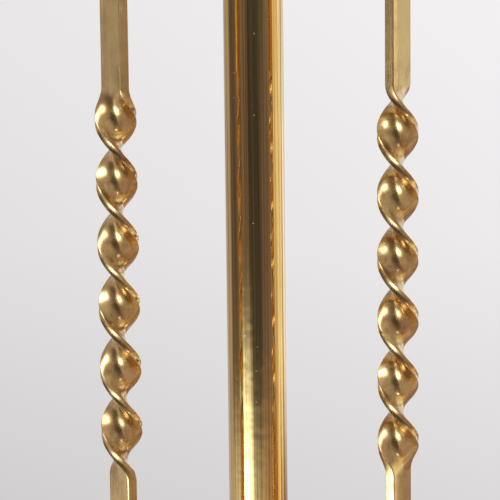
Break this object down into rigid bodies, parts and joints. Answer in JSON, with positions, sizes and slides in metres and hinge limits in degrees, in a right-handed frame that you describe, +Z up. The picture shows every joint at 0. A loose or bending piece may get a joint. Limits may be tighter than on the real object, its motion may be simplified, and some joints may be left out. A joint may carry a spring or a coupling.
{
  "type": "tripod floor lamp",
  "caption": "Floor lamp in polished brass: a tubular column between twisted flat bars that sweep out to feet, with a linen cone shade on a harp.",
  "frame": {"origin": "on the column's axis, on the floor under the feet, which is the centre of the base of the whole box", "axes": "+Z up along the column; -Y is the front, where the switch knob points; one leg points along +Y"},
  "size_m": [0.5, 0.5, 1.4791],
  "materials": {
    "brass": "polished, lightly aged and lacquered",
    "steel": "zinc plated",
    "rubber": "moulded, matt",
    "black_plastic": "moulded phenolic, satin",
    "phenolic": "moulded, brown",
    "fibre": "pressed fibre board",
    "aluminium": "spun, bright",
    "glass": "frosted inside",
    "linen": "natural linen on a stiff liner"
  },
  "bodies": {
    "stand": {"leg_1": "brass", "leg_2": "brass", "leg_3": "brass", "foot_glide_1": "rubber", "foot_glide_2": "rubber", "foot_glide_3": "rubber", "foot_screw_1": "brass", "foot_screw_2": "brass", "foot_screw_3": "brass", "spider_collar": "brass", "tie_rod_1": "brass", "tie_rod_2": "brass", "tie_rod_3": "brass", "tie_nut_1": "brass", "tie_nut_2": "brass", "tie_nut_3": "brass", "collar_set_screw": "brass", "column_tube": "brass", "column_plug": "brass", "column_top_ring": "brass", "bottom_bell": "brass", "cord_bushing": "black_plastic", "bottom_nut": "steel", "lamp_pipe": "steel", "hub_plate": "brass", "hub_screw_1": "steel", "hub_screw_2": "steel", "hub_screw_3": "steel", "hub_nut": "steel", "canopy": "brass", "neck": "brass", "neck_washer": "brass", "harp_saddle": "brass", "harp": "brass", "holder_cap": "brass", "holder_shell": "brass", "holder_insulator": "fibre", "holder_core": "phenolic", "terminal_screw_1": "brass", "terminal_screw_2": "brass", "screw_shell": "aluminium", "centre_contact": "brass", "bulb_base": "aluminium", "bulb_glass": "glass"},
    "switch_key": {"switch_spindle": "steel", "switch_knob": "black_plastic"},
    "ferrule_left": {"harp_ferrule_left": "brass"},
    "ferrule_right": {"harp_ferrule_right": "brass"},
    "shade": {"shade_cover": "linen", "shade_spider": "brass", "shade_bottom_ring": "brass"},
    "finial_foot": {"finial_base": "brass"},
    "finial_top": {"finial_ball": "brass"}
  },
  "joints": [
    {"name": "switch_turn", "type": "hinge", "parent": "stand", "child": "switch_key", "pos_m": [0, -0.025, 1.21997], "axis": [0, -1, 0], "continuous": true},
    {"name": "ferrule_left_slide", "type": "slide", "parent": "stand", "child": "ferrule_left", "axis": [0, 0, 1], "range_m": [0, 0.012]},
    {"name": "ferrule_right_slide", "type": "slide", "parent": "stand", "child": "ferrule_right", "axis": [0, 0, 1], "range_m": [0, 0.012]},
    {"name": "shade_turn", "type": "hinge", "parent": "stand", "child": "shade", "pos_m": [0, 0, 1.4376], "axis": [0, 0, 1], "continuous": true},
    {"name": "finial_lift", "type": "slide", "parent": "stand", "child": "finial_foot", "axis": [0, 0, 1], "range_m": [0, 0.0056]},
    {"name": "finial_spin", "type": "hinge", "parent": "finial_foot", "child": "finial_top", "pos_m": [0, 0, 1.4532], "axis": [0, 0, 1], "range_deg": [0, 2160]}
  ],
  "couplings": [
    {"joint": "finial_spin", "follows": "finial_lift", "rad_per_m": 6679}
  ]
}
